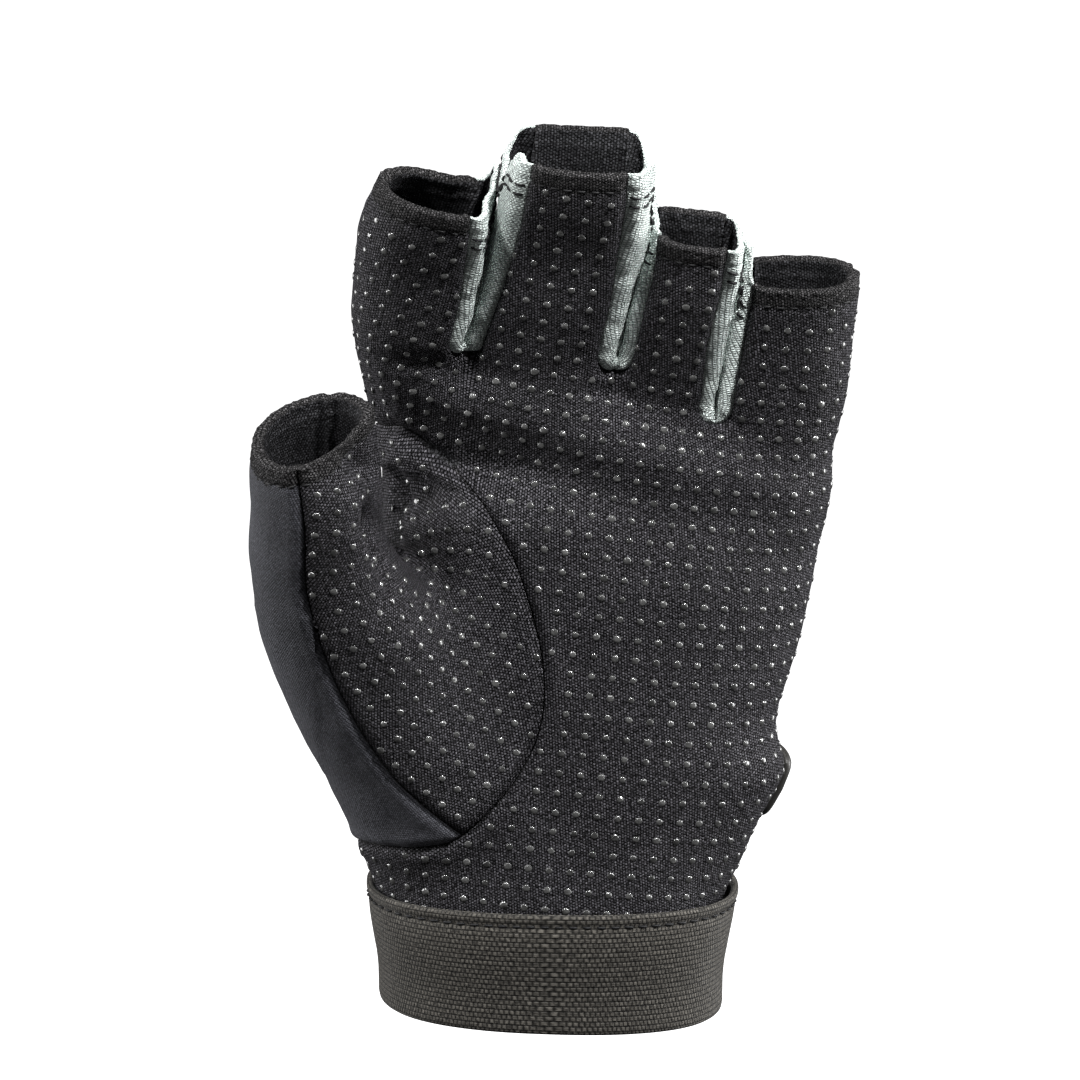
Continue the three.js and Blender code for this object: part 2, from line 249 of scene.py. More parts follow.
class Tube:
    """A tube through a table's sections, each a superellipse. It runs on past its last section."""

    def __init__(self, rows, square, steps=3):
        self.rows = smooth_table(rows, steps)
        self.square = square
        self.centre = np.stack([self.rows[k] for k in "xyz"], 1)
        self.across, self.back, self.along = frames(self.rows)

    def local(self, p):
        """Signed distance to the side, then u and v in the section, its row number and the distance past
        the last section."""
        count = len(self.centre)
        best = np.full(len(p), 1e9)
        found = [np.zeros(len(p)) for _ in range(4)]
        height = [(p - self.centre[k]) @ self.along[k] for k in range(count)]
        for k in range(count - 1):
            low, high = height[k], height[k + 1]
            here = (low >= 0) & (high < 0)
            if k == 0:
                here |= low < 0
            if k == count - 2:
                here |= high >= 0
            if not here.any():
                continue
            t = np.clip(low[here] / np.maximum(low[here] - high[here], 1e-6), 0, 1)[:, None]
            q = p[here] - (self.centre[k] * (1 - t) + self.centre[k + 1] * t)
            u = np.sum(q * (self.across[k] * (1 - t) + self.across[k + 1] * t), 1)
            v = np.sum(q * (self.back[k] * (1 - t) + self.back[k + 1] * t), 1)
            t = t[:, 0]
            w = self.rows["w"][k] * (1 - t) + self.rows["w"][k + 1] * t
            d = self.rows["d"][k] * (1 - t) + self.rows["d"][k + 1] * t
            n = self.square
            a, b = np.abs(u / w), np.abs(v / d)
            radius = np.maximum((a**n + b**n) ** (1 / n), 1e-6)
            slope = np.hypot((a / radius) ** (n - 1) / w, (b / radius) ** (n - 1) / d)
            side = (radius - 1) / slope
            if k == 0:
                below = np.maximum(-low[here], 0)
                side = np.where(below > 0, np.hypot(np.maximum(side, 0), below), side)
            index = np.nonzero(here)[0]
            closer = side < best[index]
            index = index[closer]
            best[index] = side[closer]
            for store, value in zip(found, (u, v, k + t, height[-1][here])):
                store[index] = value[closer]
        return best, *found

    def distance(self, p):
        return self.local(p)[0]

    def bounds(self, margin):
        reach = np.maximum(self.rows["w"], self.rows["d"])[:, None] + margin
        return (self.centre - reach).min(0), (self.centre + reach).max(0)

    def skin(self, z, angle, out=0.0):
        """Points at these heights and angles round the section, this far out from its side."""
        def pick(values):
            return np.stack([np.interp(z, self.rows["z"], column) for column in values.T], -1)

        u, v = superellipse(angle, self.square)
        w, d = (np.interp(z, self.rows["z"], self.rows[k]) + out for k in "wd")
        aside = (w * u)[..., None] * pick(self.across)
        return pick(self.centre) + aside + (d * v)[..., None] * pick(self.back)


def smooth_min(a, b, k):
    h = np.maximum(k - np.abs(a - b), 0) / k
    return np.minimum(a, b) - h * h * k / 4


class Line:
    """A smooth line in a plane. side is positive to its left as it runs."""

    def __init__(self, rows, count=60):
        names = list(rows)[:2]
        self.points, _ = spline(np.stack([rows[n] for n in names], 1), count, True)

    def side(self, a, b):
        best = np.full(len(a), 1e9)
        signed = np.zeros(len(a))
        for (ax, az), (bx, bz) in zip(self.points[:-1], self.points[1:]):
            ex, ez = bx - ax, bz - az
            t = np.clip(((a - ax) * ex + (b - az) * ez) / (ex * ex + ez * ez), 0, 1)
            dx, dz = a - ax - t * ex, b - az - t * ez
            far = np.hypot(dx, dz)
            closer = far < best - 1e-9
            best = np.where(closer, far, best)
            signed = np.where(closer, np.sign(ex * dz - ez * dx) * far, signed)
        return signed


class Gap:
    """The strip between two fingers: how deep a point lies in it, and the slit along it."""

    def __init__(self, rows, count=30):
        columns, _ = spline(np.stack(list(rows.values()), 1), count, True)
        self.columns = dict(zip(rows, columns.T))

    def at(self, z, *names):
        return [np.interp(z, self.columns["z"], self.columns[name]) for name in names]

    def below(self, z):
        return np.maximum(self.columns["z"][0] - z, 0)

    def inside(self, p):
        """Positive inside the strip, seen from the palm."""
        x, left, right = self.at(p[:, 2], "x", "left", "right")
        return (left + right) / 2 - np.hypot((p[:, 0] - x - (right - left) / 2) * 0.97, self.below(p[:, 2]))

    def part(self, p):
        """How far across its own arm of the strip a point lies: 0 at the slit, 1 at the seam."""
        x, left, right = self.at(p[:, 2], "x", "left", "right")
        return np.clip(np.abs(p[:, 0] - x) / np.where(p[:, 0] < x, left, right), 0, 1)

    def slit(self, p):
        """Signed distance to the slit, negative inside."""
        x, y, sag = self.at(p[:, 2], "x", "y", "sag")
        bow = np.clip(1 - ((p[:, 1] - y) / 9.0) ** 2, -0.6, 1)
        return np.hypot((p[:, 0] - x + sag * bow) * 0.97, self.below(p[:, 2] - 0.4)) - SLIT


hand = Tube(HAND, HAND_SQUARE)
thumb = Tube(THUMB, THUMB_SQUARE)
fingers = {name: Tube(table(SECTION, rows), FINGER_SQUARE) for name, rows in FINGERS.items()}
gaps = {name: Gap(table(GAP, rows)) for name, rows in GAPS.items()}
thumb_hole = Line(THUMB_HOLE, 90)
thumb_seam = Line(THUMB_SEAM, 60)
side_seam = Line(SIDE_SEAM, 50)


def near(tube, p, margin=9.0):
    """A tube's distance, worked out only near it."""
    low, high = tube.bounds(margin)
    high[2] = FAR * 3
    high[1] = FAR if tube is hand else high[1]
    low[1] = -FAR
    here = np.all((p > low) & (p < high), 1)
    out = np.full(len(p), float(margin))
    if here.any():
        out[here] = tube.distance(p[here])
    return out


def form(p):
    """Signed distance to the glove's outside, negative inside."""
    row = None
    for tube in fingers.values():
        one = near(tube, p)
        row = one if row is None else smooth_min(row, one, FINGER_BLEND)
    out = smooth_min(near(hand, p), row, WEB_BLEND)
    for gap in gaps.values():
        slit = gap.slit(p)
        out = np.where(slit < 3, -smooth_min(-out, slit, SLIT_BLEND), out)
    blend = np.interp(p[:, 2], [88, 98], [THUMB_BLEND, THUMB_TOP_BLEND])
    return smooth_min(out, near(thumb, p, 14), blend)


def slope(p, step=0.2):
    out = np.empty_like(p)
    for axis in range(3):
        move = np.zeros(3)
        move[axis] = step
        out[:, axis] = (form(p + move) - form(p - move)) / (2 * step)
    return out


def settle(p, rounds=2):
    """Points moved onto the outside, and its normals there."""
    for _ in range(rounds):
        g = slope(p)
        move = (form(p) / np.maximum(np.sum(g * g, 1), 0.2))[:, None] * g
        p = p - np.clip(move, -1.5, 1.5)
    return p, unit(slope(p))


# Meshes: a pair of vertex and triangle arrays


def surface_net(values, xs, ys, zs):
    """The surface where values is 0 on a grid, as vertices in grid steps and triangles."""
    inside = values < 0
    cells = tuple(n - 1 for n in values.shape)
    total, count = np.zeros(cells + (3,)), np.zeros(cells)
    quads = []
    for axis in range(3):
        b_axis, c_axis = (axis + 1) % 3, (axis + 2) % 3
        low = [slice(None)] * 3
        high = [slice(None)] * 3
        low[axis], high[axis] = slice(None, -1), slice(1, None)
        va, vb = values[tuple(low)], values[tuple(high)]
        crossing = (va < 0) != (vb < 0)
        where = np.argwhere(crossing)
        t = va[crossing] / (va[crossing] - vb[crossing])
        place = where.astype(float)
        place[:, axis] += t
        moves = np.zeros((4, 3), int)
        moves[:, b_axis] = -1, -1, 0, 0
        moves[:, c_axis] = -1, 0, -1, 0
        for move in moves:
            cell = where + move
            fine = np.all((cell >= 0) & (cell < cells), 1)
            index = tuple(cell[fine].T)
            np.add.at(total, index, place[fine])
            np.add.at(count, index, 1)
        across = where[:, [b_axis, c_axis]]
        last = np.array(values.shape)[[b_axis, c_axis]] - 1
        where = where[((across > 0) & (across < last)).all(1)]
        out = inside[tuple(low)][tuple(where.T)]
        corners = [where + move for move in moves[[0, 2, 3, 1]]]
        ring = np.stack([np.ravel_multi_index(tuple(corner.T), cells) for corner in corners], 1)
        ring[~out] = ring[~out][:, ::-1]
        quads.append(ring)
    quads = np.concatenate(quads)
    used, quads = np.unique(quads, return_inverse=True)
    quads = quads.reshape(-1, 4)
    place = total.reshape(-1, 3)[used] / count.reshape(-1)[used][:, None]
    grid = np.stack([np.interp(place[:, i], np.arange(len(a)), a) for i, a in enumerate((xs, ys, zs))], 1)
    return grid, quads


def triangles_of(v, quads):
    """Quads cut along their shorter diagonal."""
    a, b, c, d = (v[quads[:, i]] for i in range(4))
    short = np.linalg.norm(a - c, axis=1) < np.linalg.norm(b - d, axis=1)
    one = np.where(short[:, None], quads[:, [0, 1, 2]], quads[:, [0, 1, 3]])
    two = np.where(short[:, None], quads[:, [0, 2, 3]], quads[:, [1, 2, 3]])
    return np.concatenate([one, two])


def sides_of(f):
    return np.concatenate([f[:, [0, 1]], f[:, [1, 2]], f[:, [2, 0]]])


def edges_of(f):
    """Each edge once, with its place for the three sides of every triangle."""
    pairs, place = np.unique(np.sort(sides_of(f), 1), axis=0, return_inverse=True)
    return pairs, place.reshape(3, -1).T


def boundary(f):
    """The directed edges that only one triangle has."""
    sides = sides_of(f)
    _, place, count = np.unique(np.sort(sides, 1), axis=0, return_inverse=True, return_counts=True)
    return sides[count[place.ravel()] == 1]


def doubled_areas(v, f):
    return np.linalg.norm(np.cross(v[f[:, 1]] - v[f[:, 0]], v[f[:, 2]] - v[f[:, 0]]), axis=1)


def copies(verts, faces):
    """Like solids, with a row of vertices each, as one mesh."""
    first = np.arange(len(verts))[:, None, None] * verts.shape[1]
    return verts.reshape(-1, 3), (faces[None] + first).reshape(-1, 3)


def quads_between(rings, sides, closed):
    """Quads that join rings of points in turn, each ring with this many."""
    k = np.arange(sides)
    m = (k + 1) % sides
    faces = []
    for i in range(rings if closed else rings - 1):
        low, high = i * sides, (i + 1) % rings * sides
        faces.append(np.stack([low + k, low + m, high + m, high + k], 1))
    return np.concatenate(faces)


def relax(v, f, amount):
    """Vertices moved part of the way to the middle of their neighbours."""
    pairs, _ = edges_of(f)
    total, count = np.zeros_like(v), np.zeros(len(v))
    for a, b in ((0, 1), (1, 0)):
        np.add.at(total, pairs[:, a], v[pairs[:, b]])
        np.add.at(count, pairs[:, a], 1)
    return v + amount * (total / np.maximum(count, 1)[:, None] - v)


def refine(v, f, wanted):
    """Triangles split at the middle of each edge that wanted(middle, length) picks."""
    pairs, place = edges_of(f)
    middle = (v[pairs[:, 0]] + v[pairs[:, 1]]) / 2
    length = np.linalg.norm(v[pairs[:, 0]] - v[pairs[:, 1]], axis=1)
    cut = wanted(middle, length)
    new = np.full(len(pairs), -1)
    new[cut] = len(v) + np.arange(cut.sum())
    v = np.concatenate([v, middle[cut]])
    m = new[place]
    marks = (m >= 0).sum(1)
    out = [f[marks == 0]]
    for k in range(3):
        turn = [k, (k + 1) % 3, (k + 2) % 3]
        a, b, c = (f[:, i] for i in turn)
        ab, bc, ca = (m[:, i] for i in turn)
        one = (marks == 1) & (ab >= 0)
        out += [np.stack([a, ab, c], 1)[one], np.stack([ab, b, c], 1)[one]]
        two = (marks == 2) & (ca < 0)
        out += [np.stack(t, 1)[two] for t in ((ab, b, bc), (a, ab, bc), (a, bc, c))]
    three = marks == 3
    ab, bc, ca = m[three].T
    a, b, c = f[three].T
    out += [np.stack(t, 1) for t in ((a, ab, ca), (ab, b, bc), (ca, bc, c), (ab, bc, ca))]
    return v, np.concatenate(out)


def compact(v, f):
    used, f = np.unique(f, return_inverse=True)
    return v[used], f.reshape(-1, 3)


def clip(mesh, keep, snap=0.07):
    """The part of a mesh where keep(vertices) is positive, cut along the line where it is 0."""
    v, f = mesh
    s = keep(v)
    s = np.where(np.abs(s) < snap, 0.0, s)
    signs = np.sign(s)[f]
    whole = (signs >= 0).all(1) & (signs > 0).any(1)
    mixed = (signs > 0).any(1) & (signs < 0).any(1)
    kept = [f[whole]]
    pairs, place = edges_of(f[mixed])
    sa, sb = s[pairs[:, 0]], s[pairs[:, 1]]
    crossing = sa * sb < 0
    t = (sa / np.where(crossing, sa - sb, 1))[:, None]
    point = v[pairs[:, 0]] * (1 - t) + v[pairs[:, 1]] * t
    new = np.full(len(pairs), -1)
    new[crossing] = len(v) + np.arange(crossing.sum())
    v = np.concatenate([v, point[crossing]])
    extra = []
    for corners, sides in zip(f[mixed], new[place]):
        loop = []
        for i in range(3):
            if s[corners[i]] >= 0:
                loop.append(corners[i])
            if sides[i] >= 0:
                loop.append(sides[i])
        for i in range(1, len(loop) - 1):
            extra.append((loop[0], loop[i], loop[i + 1]))
    if extra:
        kept.append(np.array(extra))
    return compact(v, np.concatenate(kept))


def islands(v, f):
    """Each vertex's island number, by repeated lowering."""
    label = np.arange(len(v))
    pairs, _ = edges_of(f)
    while True:
        low = np.minimum(label[pairs[:, 0]], label[pairs[:, 1]])
        new = label.copy()
        np.minimum.at(new, pairs[:, 0], low)
        np.minimum.at(new, pairs[:, 1], low)
        new = new[new]
        if (new == label).all():
            return label
        label = new


def largest(mesh):
    v, f = mesh
    label = islands(v, f)
    names, counts = np.unique(label[f[:, 0]], return_counts=True)
    return compact(v, f[label[f[:, 0]] == names[counts.argmax()]])


def rim_side(p):
    """Distance below the rim of the nearest finger or thumb, blended where two are equally near."""
    places = [tube.local(p) for tube in (*fingers.values(), thumb)]
    distance = np.stack([place[0] for place in places])
    below = np.stack([np.minimum(-place[4], DEEPEST_RIM) for place in places])
    weight = np.exp((distance.min(0) - distance) / RIM_BLEND)
    return (weight * below).sum(0) / weight.sum(0)


def thumb_side(p):
    """Positive on what belongs to the thumb."""
    around = thumb_hole.side(p[:, 0], p[:, 2])
    free = np.where(p[:, 2] > 100, THUMB_CLEAR - thumb.distance(p), -FAR)
    return np.maximum(around, free)


def dotted_side(p):
    """Positive on the dotted part of the thumb."""
    beside = thumb_seam.side(p[:, 0], p[:, 2])
    _, u, v, row, _ = thumb.local(p)
    angle = np.radians(np.interp(row, np.arange(len(thumb.rows["back"])), thumb.rows["back"]))
    seam = u * np.sin(angle) - v * np.cos(angle)
    return np.minimum(np.minimum(beside, seam), front_side(p))


def front_side(p):
    """Positive on the palm's side of the seam that runs round the hand's edge."""
    return side_seam.side(p[:, 1], p[:, 2])


def slot_side(p):
    """Positive inside any of the strips between fingers."""
    return np.max([gap.inside(p) for gap in gaps.values()], 0)


def whole_form():
    """The outside as a fine mesh, finer along its seams."""
    def lean(z):
        return np.interp(z, [120, 200], [0, 18.0])

    low, high = np.array([-66.0, -60.0, 14.0]), np.array([68.0, 25.0, 192.0])
    middles = [gap.at(150.0, "x")[0] - lean(150.0) for gap in gaps.values()]
    xs = [low[0]]
    while xs[-1] < high[0]:
        close = min(abs(xs[-1] - m) for m in middles)
        xs.append(xs[-1] + (SLIT_CELL if close < 3.4 else CELL))
    xs = np.array(xs)
    ys = np.arange(low[1], high[1], CELL)
    zs = np.arange(low[2], high[2], CELL)
    grid = np.stack(np.meshgrid(xs, ys, zs, indexing="ij"), -1).reshape(-1, 3)
    grid[:, 0] += lean(grid[:, 2])
    values = form(grid).reshape(len(xs), len(ys), len(zs))
    v, quads = surface_net(values, xs, ys, zs)
    v[:, 0] += lean(v[:, 2])
    v, _ = settle(v, 1)
    f = triangles_of(v, quads)
    for _ in range(2):
        v, _ = settle(relax(v, f, 0.5), 1)
    return v, f


def seam_distance(p):
    """Distance to the nearest seam or rim."""
    seams = [slot_side(p), rim_side(p), front_side(p), thumb_side(p)]
    near_thumb = seams[3] > -1
    seams.append(np.where(near_thumb, dotted_side(p), FAR))
    return np.min(np.abs(seams), 0)


v, f = whole_form()
for reach, edge in ((3.2, SEAM_EDGE * 1.3), (1.6, SEAM_EDGE)):
    v, f = refine(v, f, lambda p, length: (length > edge) & (seam_distance(p) < reach))
    v, _ = settle(v, 1)

glove = clip((v, f), rim_side)
glove = clip(glove, lambda p: p[:, 2] - (CUFF_TOP - CUFF_OVERLAP + 0.2))
strips = {name: largest(clip(glove, lambda p, g=gap: g.inside(p) - SEAM)) for name, gap in gaps.items()}
glove = clip(glove, lambda p: -slot_side(p) - SEAM)
of_hand = clip(glove, lambda p: -thumb_side(p) - SEAM)
of_thumb = clip(glove, lambda p: thumb_side(p) - SEAM)
panels = {
    "palm": largest(clip(of_hand, lambda p: front_side(p) - SEAM)),
    "back": largest(clip(of_hand, lambda p: -front_side(p) - SEAM)),
    "thumb_front": largest(clip(of_thumb, lambda p: dotted_side(p) - SEAM)),
    "thumb_side": largest(clip(of_thumb, lambda p: -dotted_side(p) - SEAM)),
    **strips,
}


# Relief


class Waves:
    """Smooth random relief, about -1 to 1, whose bumps are about this long."""

    def __init__(self, length, seed, count=16):
        rng = np.random.default_rng(seed)
        spread = rng.uniform(0.6, 1.5, (count, 1))
        self.directions = unit(rng.normal(size=(count, 3))) * spread * 2 * np.pi / length
        self.phase = rng.uniform(0, 2 * np.pi, count)

    def __call__(self, p):
        return np.sin(p @ self.directions.T + self.phase).sum(1) / math.sqrt(len(self.phase))


slack = Waves(26, SEED)
ripple = Waves(7, SEED + 1)
rag = Waves(1.5, SEED + 2)

# Folds of the palm and thumb, as lines x z seen from the palm. depth is how far the valley is pressed in
# (a ridge where it is negative) and width how wide it is.
FOLDS = [table("x z depth width", rows) for rows in (
    [(-38, 136, 0, 3), (-33, 134.5, 0.7, 2.6), (-24, 134, 0.8, 2.6), (-14, 132, 0.5, 3), (0, 130, 0, 4)],
    [
        (-40, 121, 3, 10), (-30, 118.5, 6, 12), (-22, 115.3, 7.2, 12), (-14, 114, 6.2, 11.5),
        (-5, 113, 4.2, 10), (4, 111.5, 2.6, 9), (16, 107, 1.3, 7), (30, 103, 0, 6),
    ],
    [
        (-38, 121, 0.5, 2), (-30, 117.6, 1, 2.2), (-22, 114.3, 1.4, 2.4), (-14, 113, 1.3, 2.6),
        (-5, 112.5, 0.8, 3), (8, 109.5, 0.4, 4), (18, 106, 0, 4),
    ],
    [(10, 131, 0, 5), (22, 125, 0.9, 5), (36, 118, 1.0, 5), (50, 111, 0.5, 5), (56, 108, 0, 5)],
    [
        (-34, 115.5, -0.8, 2), (-28, 113.8, -1.6, 2), (-21, 111, -1.7, 2.2), (-16, 109.5, -0.8, 2.4),
        (-10, 108, 0, 2),
    ],
    [(-34, 106, 1.5, 4), (-30, 105.5, 4.2, 4.2), (-26, 105.5, 3.6, 4), (-21, 106, 1.6, 4), (-15, 107, 0, 4)],
    [
        (-33.5, 113, 0, 1.6), (-33.2, 108, 3.2, 1.9), (-32.8, 101, 3.6, 2), (-31.5, 95, 1.6, 2.2),
        (-29.5, 90, 0, 3),
    ],
)]
# How much narrower a fold is on its lower side
UNDERSIDE = 0.6
folds = [spline(np.stack(list(rows.values()), 1), 24, True)[0] for rows in FOLDS]


def fold_depth(p, n):
    """How far the folds press the palm's side in."""
    out = np.zeros(len(p))
    facing = np.clip((0.25 - n[:, 1]) / 0.5, 0, 1)
    for line in folds:
        best = np.full(len(p), 1e9)
        depth = np.zeros(len(p))
        for a, b in zip(line[:-1], line[1:]):
            e = b[:2] - a[:2]
            q = p[:, [0, 2]] - a[:2]
            t = np.clip((q @ e) / (e @ e), 0, 1)
            far = np.linalg.norm(q - t[:, None] * e, axis=1)
            closer = far < best
            best = np.where(closer, far, best)
            here = a[2] + (b[2] - a[2]) * t
            wide = a[3] + (b[3] - a[3]) * t
            wide = np.where(q[:, 1] < t * e[1], wide * UNDERSIDE, wide)
            depth = np.where(closer, here * np.exp(-((far / wide) ** 2)), depth)
        out += depth
    return out * facing


def smooth_step(value, low, high):
    t = np.clip((value - low) / (high - low), 0, 1)
    return t * t * (3 - 2 * t)


def distance_to(p, targets):
    tree = KDTree(len(targets))
    for i, q in enumerate(targets):
        tree.insert(q, i)
    tree.balance()
    return np.array([tree.find(q)[2] for q in p])


class Panel:
    """One panel's outside: its vertices before and after relief, normals, and distances to its edges."""

    def __init__(self, name, mesh):
        self.name = name
        self.flat, self.faces = mesh
        self.normals = unit(slope(self.flat))
        self.rim = rim_side(self.flat)
        self.edge = boundary(self.faces)
        on_edge = np.unique(self.edge)
        seams = on_edge[(self.rim[on_edge] > 0.4) & (self.flat[on_edge, 2] > CUFF_TOP - CUFF_OVERLAP + 0.5)]
        self.seam = distance_to(self.flat, self.flat[seams])
        self.points = self.flat + self.relief()[:, None] * self.normals

    def relief(self):
        p, n = self.flat, self.normals
        dip = -0.75 * np.exp(-((self.seam / 0.8) ** 2)) + 0.3 * np.exp(-(((self.seam - 2.2) / 1.4) ** 2))
        hem = 0.16 * smooth_step(self.rim, 3.0, 2.6) - 0.25 * np.exp(-(((self.rim - 3.0) / 0.4) ** 2))
        hem += 0.14 * rag(p) * smooth_step(self.rim, 2.4, 0.0)
        soft = 0.3 * slack(p) + 0.07 * ripple(p)
        out = dip + hem + soft * smooth_step(self.rim, 0, 6) - fold_depth(p, n)
        if self.name in gaps:
            part = gaps[self.name].part(p)
            out += 0.8 * 4 * part * (1 - part) * smooth_step(self.rim, 0, 4) + 0.1 * ripple(p * 2)
        return out


# Meshes for Blender


def put(items, name, values, kind=np.int32):
    items.foreach_set(name, np.ascontiguousarray(values, kind).ravel())


def fill(mesh, v, f):
    mesh.vertices.add(len(v))
    put(mesh.vertices, "co", v, np.float32)
    mesh.loops.add(f.size)
    put(mesh.loops, "vertex_index", f)
    mesh.polygons.add(len(f))
    put(mesh.polygons, "loop_start", np.arange(0, f.size, f.shape[1]))
    mesh.update(calc_edges=True)


def make(name, v, f, materials, uv=None, marks=None, stands_for=()):
    """A smooth object from vertices in millimetres, riding on the body."""
    mesh = bpy.data.meshes.new(name)
    fill(mesh, v * MM, f)
    for one in materials:
        mesh.materials.append(one)
    if marks is not None:
        put(mesh.polygons, "material_index", marks)
    if uv is not None:
        put(mesh.uv_layers.new(name="cloth").data, "uv", uv[f.ravel()], np.float32)
    put(mesh.polygons, "use_smooth", np.ones(len(f)), bool)
    mesh.update()
    piece = bpy.data.objects.new(name, mesh)
    bpy.context.scene.collection.objects.link(piece)
    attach(piece, BODY)
    if stands_for:
        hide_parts(*stands_for)
    return piece


def unwrap(v, f, target, method="ANGLE_BASED"):
    """u and v in millimetres for an open patch, turned so that they run as target's two columns do."""
    mesh = bpy.data.meshes.new("patch")
    fill(mesh, v, f)
    mesh.uv_layers.new(name="cloth")
    patch = bpy.data.objects.new("patch", mesh)
    bpy.context.scene.collection.objects.link(patch)
    for other in bpy.context.selected_objects:
        other.select_set(False)
    bpy.context.view_layer.objects.active = patch
    patch.select_set(True)
    bpy.ops.object.mode_set(mode="EDIT")
    bpy.ops.mesh.select_all(action="SELECT")
    bpy.ops.uv.unwrap(method=method, margin=0.0, iterations=8)
    bpy.ops.object.mode_set(mode="OBJECT")
    loops = np.empty(f.size * 2, np.float32)
    mesh.uv_layers[0].data.foreach_get("uv", loops)
    uv = np.zeros((len(v), 2))
    uv[f.ravel()] = loops.reshape(-1, 2)
    bpy.data.objects.remove(patch)
    bpy.data.meshes.remove(mesh)
    a, b = uv[f[:, 1]] - uv[f[:, 0]], uv[f[:, 2]] - uv[f[:, 0]]
    flat_area = np.abs(a[:, 0] * b[:, 1] - a[:, 1] * b[:, 0]).sum()
    uv = (uv - uv.mean(0)) * math.sqrt(doubled_areas(v, f).sum() / flat_area)
    turn, _, other = np.linalg.svd(uv.T @ (target - target.mean(0)))
    rotation = turn @ np.diag([1, np.sign(np.linalg.det(turn @ other))]) @ other
    return uv @ rotation


WALL = 4


def thicken(panel, thickness, uv):
    """Outside, inside and a rounded wall along every edge. Marks: 0 face, 1 hem and walls, 2 lining."""
    v, f, n = panel.points, panel.faces, panel.normals
    inner = panel.flat - n * thickness + (v - panel.flat) * 0.7
    a, b = panel.edge.T
    out = np.zeros_like(v)
    way = np.cross(v[b] - v[a], n[a])
    np.add.at(out, a, way)
    np.add.at(out, b, way)
    ring = np.unique(panel.edge)
    closed = ring[panel.rim[ring] > 0.4]
    inner[closed] += unit(out)[closed] * (SEAM + 0.12)
    bulge = np.where(panel.rim[ring] < 0.4, 0.18 * thickness, 0.0)
    run = uv[b] - uv[a]
    aside = np.zeros_like(uv)
    turned = np.stack([run[:, 1], -run[:, 0]], 1)
    np.add.at(aside, a, turned)
    np.add.at(aside, b, turned)
    beyond = unit(aside)[ring] * thickness
    layers, uvs = [v, inner], [uv, uv]
    for step in range(1, WALL):
        t = step / WALL
        blend = (1 - math.cos(math.pi * t)) / 2
        layers.append(
            v[ring] * (1 - blend)
            + inner[ring] * blend
            + unit(out)[ring] * (bulge * math.sin(math.pi * t))[:, None]
        )
        uvs.append(uv[ring] + beyond * t)
    place = np.full(len(v), -1)
    place[ring] = np.arange(len(ring))
    at = [lambda i: i]
    for step in range(1, WALL):
        at.append(lambda i, s=step: 2 * len(v) + (s - 1) * len(ring) + place[i])
    at.append(lambda i: len(v) + i)
    faces = [f, f[:, ::-1] + len(v)]
    for one, two in zip(at[:-1], at[1:]):
        faces += [np.stack([one(b), one(a), two(a)], 1), np.stack([one(b), two(a), two(b)], 1)]
    hem = (panel.rim[f] < 2.9).any(1)
    marks = [hem.astype(int), np.full(len(f), 2)] + [np.ones(len(a), int)] * (2 * WALL)
    return np.concatenate(layers), np.concatenate(faces), np.concatenate(uvs), np.concatenate(marks)


DOT_RINGS = ((0.0, 0.25), (0.4, 0.23), (0.66, 0.14), (0.78, -0.08))
DOT_SIDES = 10
THREAD_SIDES = 6


def around(normals):
    """Two directions across each normal."""
    guide = np.where(np.abs(normals[:, [2]]) < 0.9, [[0.0, 0.0, 1.0]], [[1.0, 0.0, 0.0]])
    right = unit(np.cross(guide, normals))
    return right, np.cross(normals, right)


def circle(right, up, sides):
    """Directions in a circle, a row of them for each pair of directions."""
    angle = np.arange(sides)[:, None] * 2 * np.pi / sides
    return right[:, None] * np.cos(angle) + up[:, None] * np.sin(angle)


